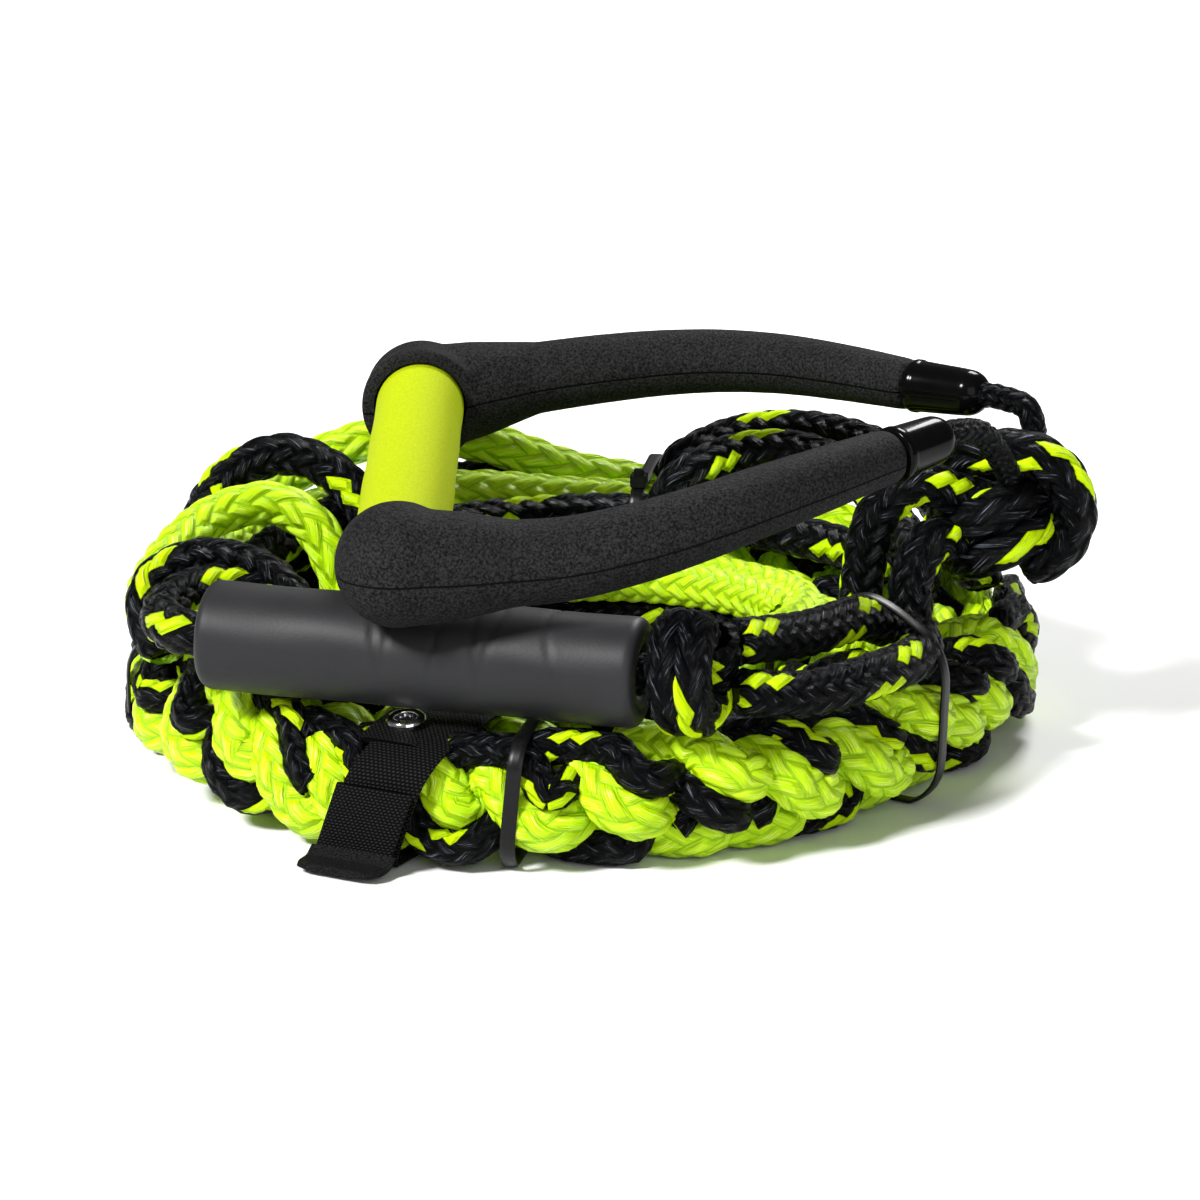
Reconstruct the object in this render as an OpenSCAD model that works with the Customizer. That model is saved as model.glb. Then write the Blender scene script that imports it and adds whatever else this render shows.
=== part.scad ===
// Tow rope handle with its rope coiled and tied. Millimetres, +Z up, coil resting on z = 0.

/* [Handle] */
// Distance between the two elbow centres along the crossbar
elbow_span = 210; // [200:1:216]
// Height of the crossbar axis above the ground
bar_z = 93.3; // [93.3:0.1:95]
// Outer diameter of the foam grip
grip_d = 29; // [27:0.5:30]
// Diameter of the elbow balls
elbow_d = 38; // [37:0.5:38]
// Outer diameter of the crossbar tube
bar_tube_d = 22; // [20:0.5:23]
// Diameter of the bridle cord inside the arms
bridle_d = 9; // [8:0.5:9]
// Diameter of the end caps
cap_d = 16; // [15.5:0.1:16.4]

/* [Rope] */
// Diameter of the plain hollow-braid line
line_d = 14; // [13:0.5:14]
// Radius of the middle of the coil's outer plaited turn
ring_mid_r = 134; // [132:1:135]
// Height of the coil
ring_h = 41; // [39:1:41]
// Diameter of the bridle knot
bridle_knot_d = 50; // [46:1:50]

/* [Float] */
// Outer diameter of the foam float
float_d = 33.5; // [32:0.5:34]
// Length of the foam float
float_l = 137; // [125:1:137]
// Diameter of the hole through the float
float_bore_d = 15.2; // [14.8:0.1:17]

/* [Keepers] */
// Width of the webbing strap
strap_w = 26; // [24:1:28]
// Thickness of the webbing strap
strap_t = 2; // [1.8:0.1:2.1]
// Width of the cable ties
tie_w = 4.6; // [3.6:0.2:5]
// Thickness of the cable ties
tie_t = 1.3; // [1:0.1:1.5]
// Radius of the eyelet's hole
eyelet_r = 3.5; // [3:0.1:3.6]

/* [Hidden] */
$fn = 48;

lime = [0.72, 0.9, 0.08];
foam_black = [0.17, 0.17, 0.17];
rope_black = [0.1, 0.1, 0.11];
gloss_black = [0.06, 0.06, 0.06];
metal = [0.78, 0.79, 0.8];

// Clearance between pieces that move against each other
gap = 0.35;

// Handle: crossbar along Y at bar_x, the front elbow nearer the viewer
bar_x = -60;
front_y = -123;
back_y = front_y + elbow_span;
grip_start = 13;
socket_end = 7;
tube_wall = 1.6;
plug_l = 16;
front_lip_r = 16;
back_lip_r = 21;
// Turns the facets of the crossbar and its sockets alike, clear of the arms' own facets
facet_turn = 172;
elbow_cavity_r = 9;
knot_len = 15;
arm_sides = 24;
core_sides = 10;
cap_seat = 1.2;

// Centre line and radius of each arm, from the elbow to the end cap: [x, y, z, radius]
front_arm = [
    [-60, -123, 93.3, 14], [-36, -124, 93.6, 13.4], [-12, -124, 95, 12.7], [10, -121, 99, 12.1],
    [30, -114, 103.5, 11.4], [48, -104, 107.5, 10.7], [66, -91, 110.5, 9.9], [79, -79.5, 112.2, 9.1],
    [89, -70, 113, 8.4]
];
back_arm = [
    [-60, 87, 93.3, 13.6], [-38, 88, 96.8, 12.6], [-18, 88, 100, 12], [2, 87, 103, 11.6],
    [22, 86, 105.2, 11.1], [42, 81, 107, 10.6], [62, 70, 108.4, 10], [82, 53, 109.4, 9.3],
    [102, 34, 110, 8.4]
];
front_tip = [107.5, -51.5, 115];
back_tip = [125, 17, 110.8];

// Rope coil: its outline is a circle, flattened at the front and dented at the right front
ring_steps = 72;
front_flat = 12;
dent_depth = 22;
dent_at = -25;
dent_half = 58;
plait_half = 20;
plait_in = 46;
line_in = 76;
edge_in = 4;
edge_h = 6;
line_r = line_d / 2;
line_sides = 10;
cord_sides = 8;

// Routes of the line over the ring, chosen by hand
green_route = [
    [-138, -46, 50], [-145, -14, 51], [-140, 12, 58], [-128, 34, 65], [-110, 43, 68],
    [-96, 42, 62], [-88, 38, 50]
];
loop_route = [
    [-134, 58, 50], [-132, 74, 58], [-124, 84, 67], [-108, 88, 73], [-92, 84, 69],
    [-80, 74, 60], [-74, 62, 50]
];
crest_route = [
    [-122, 98, 50], [-108, 112, 58], [-92, 119, 66], [-70, 122, 71], [-40, 124, 68],
    [-10, 128, 57], [20, 131, 50]
];
back_route = [
    [-104, 94, 50], [-80, 104, 52], [-46, 108, 55], [-12, 111, 52], [24, 111, 50], [60, 98, 50],
    [86, 76, 50]
];
inner_route = [
    [-54, 77, 50], [-24, 92, 50], [8, 96, 50], [35, 87, 50], [58, 74, 50], [78, 56, 50],
    [88, 40, 50]
];
hump_outer_route = [
    [30, 116, 64.5], [50, 124, 71], [76, 114, 74], [100, 94, 70], [116, 68, 58], [124, 42, 50]
];
hump_inner_route = [
    [28, 94, 62.5], [46, 104, 69], [68, 97, 71.5], [88, 80, 66], [100, 56, 55], [104, 34, 50]
];
float_lead_route = [
    [-131, -82, 61.5], [-135, -69, 62], [-130, -54, 64.5], [-115, -44, 64], [-98, -47, 58],
    [-84, -60, 50]
];
tow_lower_route = [[40, -124, 54], [62, -113, 50], [84, -93, 50], [98, -70, 49], [100, -48, 49]];
tow_upper_route = [[40, -116, 67], [62, -90, 62], [80, -62, 59], [88, -44, 52], [88, -34, 49]];
lead_inner_route = [[115, -8, 84], [100, -16, 90], [88, -18, 80], [84, -17, 62], [83, -15, 44.5]];
lead_outer_route = [[115, -9, 70], [105, -20, 72], [99, -24, 61], [99, -22, 44.5]];
front_leg_route = [[110, -49.2, 115.2], [119, -38, 112], [126, -26, 101], [130, -15, 92]];
back_leg_route = [[128.5, 14.4, 110.8], [137, 9, 108.5], [140, 6, 99]];

// Middle of the bridle knot
bridle_knot_at = [136, 4, 76];

// Float, from its left end to its right end
float_left = [-119.4, -89.7, 61.9];
float_right = [13.2, -124, 59.7];
float_knot_r = 19;
float_knot_w = 24;
knot_lift = 1.4;

// Azimuth of the strap about the coil's centre, in degrees
strap_at = -118;
// The strap's crown: a cut corner, then a gentle slope under the float that carries its end
corner_foot = 28;
corner_run = 9;
crown_low = 35.5;
crown_run = 34;
crown_top = 39.2;
crown_tilt = atan2(crown_top - crown_low, crown_run - corner_run);
end_l = 22;
end_w = 22;
eyelet_back = 11.5;
pocket_depth = 3;
tie_head_l = 6.4;
tie_head_w = 5.4;
tie_head_h = 4.4;
patch_t = 1.2;
hook_t = 1;
tab_t = 1.6;
tab_low = 2.6;
tab_top = 27;
tab_lip = 10;
tab_out = patch_t + gap + hook_t;
// Cable ties: azimuth, then the inner height and corner cut of the path over what each holds
tie_front = [-101, [ring_h, 5]];
tie_right = [-34, [67, 18]];
tie_back = [82, [59, 8]];
tie_left = [186, [59.5, 1]];
ties = [tie_front, tie_right, tie_back, tie_left];
eyelet_flange_r = 6.2;
eyelet_t = 1.2;
washer_t = 0.8;

function unit(v) = v / norm(v);
function blend_at(a) = abs(a) < dent_half ? (1 + cos(180 * a / dent_half)) / 2 : 0;
function turn_from(a, b) = (a - b + 540) % 360 - 180;
function ring_r(a) = ring_mid_r - front_flat * pow(max(0, -sin(a)), 2)
    - dent_depth * blend_at(turn_from(a, dent_at));
function ring_outline(d) = [
    for (i = [0 : ring_steps - 1])
        let (a = i * 360 / ring_steps)
        (ring_r(a) - d) * [cos(a), sin(a)]
];

// Directions along a route, the mean of the two legs at each inner point
function route_dirs(p) = [
    for (i = [0 : len(p) - 1])
        unit(p[min(i + 1, len(p) - 1)] - p[max(i - 1, 0)])
];
function side_dirs(t, i, n) = i >= len(t) ? [] :
    let (m = unit(n - (n * t[i]) * t[i]))
    concat([m], side_dirs(t, i + 1, m));
function sweep_points(p, r, sides) =
    let (t = route_dirs(p), n = side_dirs(t, 0, abs(t[0].z) > 0.8 ? [1, 0, 0] : [0, 0, 1]))
    [
        for (i = [0 : len(p) - 1])
            for (k = [0 : sides - 1])
                let (a = 360 * k / sides)
                p[i] + r[i] * (cos(a) * n[i] + sin(a) * cross(t[i], n[i]))
    ];
function sweep_faces(rings, sides) = concat(
    [[for (k = [0 : sides - 1]) k]],
    [
        for (i = [0 : rings - 2])
            for (k = [0 : sides - 1])
                [
                    i * sides + k,
                    (i + 1) * sides + k,
                    (i + 1) * sides + (k + 1) % sides,
                    i * sides + (k + 1) % sides
                ]
    ],
    [[for (k = [sides - 1 : -1 : 0]) (rings - 1) * sides + k]]
);

// A tube of varying radius swept along a route
module swept(p, r, sides) {
    polyhedron(sweep_points(p, r, sides), sweep_faces(len(p), sides), convexity = 6);
}

// A rope of one radius swept along a route
module rope(p, r, sides) {
    swept(p, [for (q = p) r], sides);
}

// Puts +Z of its child along a direction, at a point
module aim(at, dir) {
    d = unit(dir);
    translate(at) rotate([0, acos(d.z), atan2(d.y, d.x)]) children();
}

function centre_line(arm) = [for (q = arm) [q[0], q[1], q[2]]];
function arm_radii(arm, less) = [for (q = arm) q[3] - less];
function arm_end(arm) = centre_line(arm)[len(arm) - 1];

// Mirrors the crossbar's fittings: side is 1 at the front elbow, -1 at the back
module at_elbow(y, side) {
    translate([bar_x, y, bar_z]) rotate([-90 * side, 0, 0]) rotate([0, 0, facet_turn]) children();
}

module grip_sleeve() {
    color(lime) at_elbow(front_y, 1)
        translate([0, 0, grip_start]) difference() {
            cylinder(h = elbow_span - 2 * grip_start, d = grip_d);
            translate([0, 0, -1]) cylinder(h = elbow_span, d = bar_tube_d);
        }
}

module crossbar_tube() {
    color(metal) at_elbow(front_y, 1)
        translate([0, 0, socket_end]) difference() {
            cylinder(h = elbow_span - 2 * socket_end, d = bar_tube_d);
            translate([0, 0, -1]) cylinder(h = elbow_span, d = bar_tube_d - 2 * tube_wall);
        }
}

module tube_plug(y, side) {
    color(gloss_black) at_elbow(y, side)
        translate([0, 0, socket_end + 1]) difference() {
            cylinder(h = plug_l, d = bar_tube_d - 2 * tube_wall);
            translate([0, 0, -1]) cylinder(h = plug_l + 2, d = bridle_d + 1);
        }
}

// Elbow ball, arm and socket lip in one moulding, hollow for the tube and the bridle cord
module arm_cover(arm, y, side, lip_r) {
    color(foam_black) difference() {
        union() {
            swept(centre_line(arm), arm_radii(arm, 0), arm_sides);
            at_elbow(y, side) sphere(d = elbow_d);
            at_elbow(y, side) cylinder(h = grip_start, r1 = elbow_d / 2 - 0.5, r2 = lip_r);
        }
        at_elbow(y, side) translate([0, 0, socket_end]) cylinder(h = 40, d = bar_tube_d);
        at_elbow(y, side) translate([0, 0, grip_start]) cylinder(h = 10, d = grip_d + 1);
        at_elbow(y, side) cylinder(h = socket_end + 1, r = elbow_cavity_r);
        at_elbow(y, side) sphere(r = elbow_cavity_r);
        arm_bore(arm);
    }
}

// The hole for the bridle cord runs on past the arm's end
module arm_bore(arm) {
    p = centre_line(arm);
    n = len(p) - 1;
    inside = [for (i = [0 : n - 1]) p[i]];
    run_on = [p[n] + 2 * unit(p[n] - p[n - 1])];
    rope(concat(inside, run_on), bridle_d / 2 + 0.5, core_sides);
}

module end_cap(arm, tip) {
    start = arm_end(arm);
    dir = tip - start;
    long = norm(dir);
    color(gloss_black) aim(start, dir) translate([0, 0, cap_seat]) difference() {
        union() {
            cylinder(h = long - cap_d / 2 - cap_seat, d = cap_d);
            translate([0, 0, long - cap_d / 2 - cap_seat]) sphere(d = cap_d);
        }
        translate([0, 0, -cap_d]) cylinder(h = cap_d, d = 2 * cap_d);
        translate([0, 0, -1]) cylinder(h = 2 * long, d = bridle_d + 1);
    }
}

// Cord from inside the crossbar, round the elbow, along the arm and through the end cap
module bridle_core(arm, y, side, tip) {
    inner = [bar_x, y + side * (socket_end + plug_l + 1), bar_z];
    mouth = [bar_x, y + side * (socket_end - 1), bar_z];
    bend = [bar_x + 4, y, bar_z];
    p = centre_line(arm);
    along = [for (i = [1 : len(p) - 1]) p[i]];
    route = concat([inner, mouth, bend], along, [tip]);
    color(rope_black) rope(route, bridle_d / 2 - 0.5, core_sides);
}

module stop_knot(y, side) {
    color(rope_black) at_elbow(y, side)
        translate([0, 0, socket_end + plug_l + 1])
            rotate_extrude() intersection() {
                translate([0, knot_len / 2]) circle(r = knot_len / 2 + 0.7);
                square([knot_len, knot_len]);
            }
}

module bridle_knot() {
    color(rope_black) translate(bridle_knot_at) sphere(d = bridle_knot_d);
}

// Radii of the inner and outer sides of the plait at a keeper's azimuth
function keeper_in(at) = ring_r(at) - plait_in;
function keeper_out(at) = ring_r(at) + plait_half;

// An outline moved outwards by t, with mitred corners
function edge_out(p, i) =
    let (q = p[(i + 1) % len(p)] - p[i])
    [q.y, -q.x] / norm(q);
function grown(p, t) = [
    for (i = [0 : len(p) - 1])
        let (a = edge_out(p, (i + len(p) - 1) % len(p)), b = edge_out(p, i))
        p[i] + t * (a + b) / (1 + a * b)
];

// The inner outlines of a tie and of the strap, in the plane of their azimuth
function tie_inside(tie) =
    let (r0 = keeper_in(tie[0]), r1 = keeper_out(tie[0]), top = tie[1][0], cut = tie[1][1])
    [[r0, tie_t], [r1, tie_t], [r1, top - cut], [r1 - cut, top], [r0, top]];
function strap_inside() =
    let (r0 = keeper_in(strap_at), r1 = keeper_out(strap_at))
    [
        [r0, strap_t], [r1, strap_t], [r1, corner_foot], [r1 - corner_run, crown_low],
        [r1 - crown_run, crown_top], [r0, crown_top]
    ];

module upright(at, w) {
    rotate([0, 0, at]) translate([0, w / 2, 0]) rotate([90, 0, 0]) linear_extrude(w) children();
}

// Room for a keeper in the plait: under it, up both sides and at its cut corner
module plait_channel(at, w, t) {
    upright(at, w) difference() {
        translate([keeper_in(at) - t, -1]) square([plait_in + plait_half + 12, 80]);
        children();
    }
}

// Room for a keeper's inner side in the line coil
module line_channel(at, w, t) {
    upright(at, w) translate([keeper_in(at) - t, -1]) square([30, 80]);
}

module ring_slab(d_out, d_in, z0, z1) {
    translate([0, 0, z0]) linear_extrude(z1 - z0) difference() {
        polygon(ring_outline(d_out));
        polygon(ring_outline(d_in));
    }
}

module coil_section(d_out, d_in) {
    ring_slab(d_out + edge_in, d_in - edge_in, 0, edge_h);
    ring_slab(d_out, d_in, edge_h, ring_h - edge_h);
    ring_slab(d_out + edge_in, d_in - edge_in, ring_h - edge_h, ring_h);
}

module plait_coil() {
    color(lime) difference() {
        coil_section(-plait_half, plait_in);
        for (k = ties)
            plait_channel(k[0], tie_w, tie_t) polygon(tie_inside(k));
        plait_channel(strap_at, strap_w, strap_t) polygon(strap_inside());
        at_eyelet() translate([0, 0, -strap_t - pocket_depth])
            cylinder(h = 2 * pocket_depth, r = eyelet_flange_r + gap);
    }
}

module line_coil() {
    color(rope_black) difference() {
        coil_section(plait_in, line_in);
        for (k = ties)
            line_channel(k[0], tie_w, tie_t);
        line_channel(strap_at, strap_w, strap_t);
    }
}

module tie_loop(tie) {
    color(gloss_black) {
        upright(tie[0], tie_w) difference() {
            polygon(grown(tie_inside(tie), tie_t));
            polygon(tie_inside(tie));
        }
        rotate([0, 0, tie[0]])
            translate([keeper_in(tie[0]) + 6, -tie_head_w / 2, tie[1][0] + tie_t])
                cube([tie_head_l, tie_head_w, tie_head_h]);
    }
}

// On the strap's crown: the origin is the low end of its outer face and +X points down it
module on_crown() {
    rotate([0, 0, strap_at]) translate([keeper_out(strap_at) - corner_run, 0, crown_low])
        rotate([0, crown_tilt, 0]) translate([0, 0, strap_t]) children();
}

module at_eyelet() {
    on_crown() translate([-eyelet_back, 0, 0]) children();
}

module eyelet_hole() {
    at_eyelet() translate([0, 0, -strap_t - 1])
        cylinder(h = 3 * strap_t, r = eyelet_r + eyelet_t);
}

module strap_band() {
    color(foam_black) difference() {
        upright(strap_at, strap_w) difference() {
            polygon(grown(strap_inside(), strap_t));
            polygon(strap_inside());
        }
        eyelet_hole();
    }
}

// The strap's free end, lying on its crown
module strap_end() {
    color(foam_black) difference() {
        on_crown() translate([-end_l, -end_w / 2, 0]) cube([end_l, end_w, strap_t]);
        eyelet_hole();
    }
}

// Flange on the strap's end, with a barrel through both layers to the washer below
module strap_eyelet() {
    color(metal) at_eyelet() difference() {
        union() {
            translate([0, 0, strap_t]) cylinder(h = eyelet_t, r = eyelet_flange_r);
            translate([0, 0, -strap_t - washer_t])
                cylinder(h = 2 * strap_t + washer_t, r = eyelet_r + eyelet_t);
        }
        translate([0, 0, -10]) cylinder(h = 20, r = eyelet_r);
    }
}

module eyelet_washer() {
    color(metal) at_eyelet() translate([0, 0, -strap_t - washer_t]) difference() {
        cylinder(h = washer_t, r = eyelet_flange_r);
        translate([0, 0, -1]) cylinder(h = 4, r = eyelet_r + eyelet_t);
    }
}

// Hook-and-loop closure low on the strap's outer face: +X is outward, +Z is up
module on_strap_face(out, z) {
    rotate([0, 0, strap_at]) translate([keeper_out(strap_at) + strap_t + out, 0, z]) children();
}

module loop_patch() {
    color(rope_black) on_strap_face(0, 4)
        translate([0, 1 - strap_w / 2, 0]) cube([patch_t, strap_w - 2, 20]);
}

module hook_patch() {
    color(rope_black) on_strap_face(patch_t + gap, 5)
        translate([0, 2 - strap_w / 2, 0]) cube([hook_t, strap_w - 4, 18]);
}

// Closing flap with a round-ended pull lip that turns out at its foot
module strap_tab() {
    color(foam_black) on_strap_face(tab_out, tab_low) {
        translate([0, -strap_w / 2, 0]) cube([tab_t, strap_w, tab_top - tab_low]);
        linear_extrude(tab_t) intersection() {
            translate([0, -strap_w / 2]) square([tab_lip, strap_w]);
            translate([tab_lip - strap_w / 2, 0]) circle(d = strap_w);
        }
    }
}

// A plain turn or leg of the line
module line(route, shade) {
    color(shade) rope(route, line_r, line_sides);
}

module bridle_leg(route) {
    color(rope_black) rope(route, bridle_d / 2, cord_sides);
}

module float_tube() {
    dir = float_right - float_left;
    color(foam_black) aim(float_left, dir) translate([0, 0, norm(dir) - float_l]) difference() {
        cylinder(h = float_l, d = float_d);
        translate([0, 0, -1]) cylinder(h = float_l + 2, d = float_bore_d);
    }
}

module float_line() {
    dir = float_right - float_left;
    start = float_left - 5 * unit(dir);
    color(rope_black) aim(start, dir) cylinder(h = norm(dir) + 7, r = line_r);
}

module float_lead() {
    joint = float_left - 5 * unit(float_right - float_left);
    line(concat([joint], float_lead_route), rope_black);
}

module float_knot() {
    dir = float_right - float_left;
    color(rope_black) aim(float_right + 2 * unit(dir) + [0, 0, knot_lift], dir) rotate_extrude() {
        square([float_knot_r - 5, float_knot_w]);
        translate([0, 5]) square([float_knot_r, float_knot_w - 10]);
        translate([float_knot_r - 5, 5]) circle(r = 5);
        translate([float_knot_r - 5, float_knot_w - 5]) circle(r = 5);
    }
}

grip_sleeve();
crossbar_tube();
tube_plug(front_y, 1);  // tube_plug_front
tube_plug(back_y, -1);  // tube_plug_back
arm_cover(front_arm, front_y, 1, front_lip_r);  // arm_cover_front
arm_cover(back_arm, back_y, -1, back_lip_r);  // arm_cover_back
end_cap(front_arm, front_tip);  // end_cap_front
end_cap(back_arm, back_tip);  // end_cap_back
bridle_core(front_arm, front_y, 1, front_tip);  // bridle_core_front
bridle_core(back_arm, back_y, -1, back_tip);  // bridle_core_back
stop_knot(front_y, 1);  // stop_knot_front
stop_knot(back_y, -1);  // stop_knot_back
bridle_leg(front_leg_route);  // bridle_leg_front
bridle_leg(back_leg_route);  // bridle_leg_back
bridle_knot();
line(lead_inner_route, rope_black);  // lead_rope_inner
line(lead_outer_route, rope_black);  // lead_rope_outer
plait_coil();
line_coil();
line(green_route, lime);  // top_line_green
line(loop_route, rope_black);  // top_line_loop
line(crest_route, lime);  // top_line_crest
line(back_route, lime);  // top_line_back
line(inner_route, rope_black);  // top_line_inner
line(hump_outer_route, rope_black);  // hump_line_outer
line(hump_inner_route, rope_black);  // hump_line_inner
float_lead();
float_line();
float_tube();
float_knot();
line(tow_lower_route, rope_black);  // tow_leg_lower
line(tow_upper_route, rope_black);  // tow_leg_upper
tie_loop(tie_front);
tie_loop(tie_right);
tie_loop(tie_back);
tie_loop(tie_left);
strap_band();
strap_end();
strap_eyelet();
eyelet_washer();
loop_patch();
strap_tab();
hook_patch();
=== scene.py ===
"""Looks of the tow rope handle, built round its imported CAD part.

Shapes are worked out in millimetres, and the meshes are made in metres."""

import math

import bmesh
import bpy
import numpy as np
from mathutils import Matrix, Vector


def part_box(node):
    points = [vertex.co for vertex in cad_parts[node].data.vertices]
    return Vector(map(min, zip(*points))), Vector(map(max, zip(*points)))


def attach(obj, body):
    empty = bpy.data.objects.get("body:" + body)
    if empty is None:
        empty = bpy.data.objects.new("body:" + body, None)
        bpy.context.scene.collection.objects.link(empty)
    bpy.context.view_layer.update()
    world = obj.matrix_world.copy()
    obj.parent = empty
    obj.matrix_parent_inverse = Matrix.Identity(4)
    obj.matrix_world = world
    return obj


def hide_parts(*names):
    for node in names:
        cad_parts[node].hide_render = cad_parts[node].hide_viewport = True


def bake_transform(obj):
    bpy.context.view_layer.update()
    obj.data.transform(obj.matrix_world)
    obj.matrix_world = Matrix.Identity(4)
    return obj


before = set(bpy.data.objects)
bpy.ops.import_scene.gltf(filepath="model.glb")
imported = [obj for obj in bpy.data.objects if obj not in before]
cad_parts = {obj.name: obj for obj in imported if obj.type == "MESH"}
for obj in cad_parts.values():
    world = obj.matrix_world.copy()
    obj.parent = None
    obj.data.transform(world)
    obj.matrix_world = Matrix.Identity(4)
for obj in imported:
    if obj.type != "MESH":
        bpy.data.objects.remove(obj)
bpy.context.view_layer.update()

MM = 0.001
UP = np.array([0.0, 0.0, 1.0])

# -------- driving values, in millimetres

# The ring's radius, its flat front, and the dent in its right side, with azimuths in degrees
RING_R, FRONT_FLAT, DENT_DEPTH, DENT_AT, DENT_HALF = 134, 12, 22, -25, 58
RING_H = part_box("plait_coil")[1].z / MM
# How far the plait reaches outwards and inwards from the ring's radius
PLAIT_HALF, PLAIT_IN = 20, 46
LINE_D, BRIDLE_D = 14, 9
TIE_W, TIE_T = 4.6, 1.3
STRAP_W, STRAP_T, STRAP_AT = 26, 2, -118
# Gap between the keepers and the floor, and the rounding of their corners
FLOOR_GAP, KEEPER_CORNER = 0.05, 7
FLOAT_D, FLOAT_L = 33.5, 137
FLOAT_LEFT = np.array([-119.4, -89.7, 61.9])
FLOAT_RIGHT = np.array([13.2, -124.0, 59.7])
BAR_X, BAR_Z, FRONT_Y, BACK_Y = -60, 93.3, -123, 87
# The grip starts at the necks' mouths, with a little more of it tucked inside
GRIP_START, GRIP_TUCK, GRIP_D, ELBOW_D = 13, 3, 29, 38
# Yarns that run each way round a hollow braid
CARRIERS = 8

# Routes of the lines over the ring and of the cords, as in the CAD source
GREEN_ROUTE = [
    (-138, -46, 50), (-145, -14, 51), (-140, 12, 58), (-128, 34, 65), (-110, 43, 68),
    (-96, 42, 62), (-88, 38, 50),
]
LOOP_ROUTE = [
    (-134, 58, 50), (-132, 74, 58), (-124, 84, 67), (-108, 88, 73), (-92, 84, 69),
    (-80, 74, 60), (-74, 62, 50),
]
CREST_ROUTE = [
    (-122, 98, 50), (-108, 112, 58), (-92, 119, 66), (-70, 122, 71), (-40, 124, 68),
    (-10, 128, 57), (20, 131, 50),
]
BACK_ROUTE = [
    (-104, 94, 50), (-80, 104, 52), (-46, 108, 55), (-12, 111, 52), (24, 111, 50), (60, 98, 50),
    (86, 76, 50),
]
INNER_ROUTE = [
    (-54, 77, 50), (-24, 92, 50), (8, 96, 50), (35, 87, 50), (58, 74, 50), (78, 56, 50),
    (88, 40, 50),
]
HUMP_OUTER_ROUTE = [
    (30, 116, 64.5), (50, 124, 71), (76, 114, 74), (100, 94, 70), (116, 68, 58), (124, 42, 50),
]
HUMP_INNER_ROUTE = [
    (28, 94, 62.5), (46, 104, 69), (68, 97, 71.5), (88, 80, 66), (100, 56, 55), (104, 34, 50),
]
FLOAT_LEAD_ROUTE = [
    (-131, -82, 61.5), (-135, -69, 62), (-130, -54, 64.5), (-115, -44, 64), (-98, -47, 58),
    (-84, -60, 50),
]
TOW_LOWER_ROUTE = [(40, -124, 54), (62, -113, 50), (84, -93, 50), (98, -70, 49), (100, -48, 49)]
TOW_UPPER_ROUTE = [(40, -116, 67), (62, -90, 62), (80, -62, 59), (88, -44, 52), (88, -34, 49)]
LEAD_INNER_ROUTE = [
    (129, -2, 79), (115, -8, 84), (100, -16, 90), (88, -18, 80), (84, -17, 62), (83, -15, 44.5),
    (83, -14, 36),
]
LEAD_OUTER_ROUTE = [
    (132, 0, 70), (115, -9, 70), (105, -20, 72), (99, -24, 61), (99, -22, 44.5), (99, -20, 20),
]
FRONT_LEG_ROUTE = [(110, -49.2, 115.2), (119, -38, 112), (126, -26, 101), (130, -15, 92)]
BACK_LEG_ROUTE = [(128.5, 14.4, 110.8), (137, 9, 108.5), (140, 6, 99)]
KNOT_MIDDLE = (129.5, 4, 79)

# Lines that lie on the plait under the arches at the left. They have no CAD node of their own
UNDER_ROUTE = [
    (-116, -8, 44), (-115, 24, 50), (-103, 60, 52), (-83, 92, 53), (-53, 120, 54), (-19, 135, 53),
    (19, 133, 45),
]
OUTER_ROUTE = [
    (-133, 19, 43), (-128, 42, 49), (-117, 68, 51), (-101, 91, 50), (-78, 115, 49), (-47, 130, 43),
]
WRAP_ROUTE = [
    (-136, -60, 47), (-141, -53, 58), (-138, -45, 67), (-125, -38, 71), (-108, -39, 68),
    (-96, -48, 60), (-88, -56, 48),
]

# Centre line and radius of each arm, from the elbow to the end cap: (x, y, z, radius)
FRONT_ARM = [
    (-60, -123, 93.3, 14), (-36, -124, 93.6, 13.4), (-12, -124, 95, 12.7), (10, -121, 99, 12.1),
    (30, -114, 103.5, 11.4), (48, -104, 107.5, 10.7), (66, -91, 110.5, 9.9),
    (79, -79.5, 112.2, 9.1), (89, -70, 113, 8.4),
]
BACK_ARM = [
    (-60, 87, 93.3, 13.6), (-38, 88, 96.8, 12.6), (-18, 88, 100, 12), (2, 87, 103, 11.6),
    (22, 86, 105.2, 11.1), (42, 81, 107, 10.6), (62, 70, 108.4, 10), (82, 53, 109.4, 9.3),
    (102, 34, 110, 8.4),
]
FRONT_TIP, BACK_TIP = (107.5, -51.5, 115), (125, 17, 110.8)

# Ties: azimuth, inner height, cut of the upper corner, and sideways tilt from foot to top
TIES = {
    "tie_front": (-101, RING_H, 5, 4),
    "tie_right": (-34, 67, 18, 0),
    "tie_back": (82, 59, 8, 0),
    "tie_left": (186, 59.5, 1, 0),
}
# How far a tie presses into the plait, and the cut of its outer foot
TIE_HUG, TIE_FOOT = 2.5, 9
# Two ties follow the lines that they hold: (radius, height) from the outer side inwards
OVER_TIES = {
    -34: [(128.5, 44), (124, 53.5), (110, 61.5), (101, 64.6), (93, 62), (88, 50), (66, 44.5)],
    186: [(151.5, 34), (138, 43.5), (127, 55), (116, 57.6), (104, 57), (96, 46), (88, 44)],
}


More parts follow.
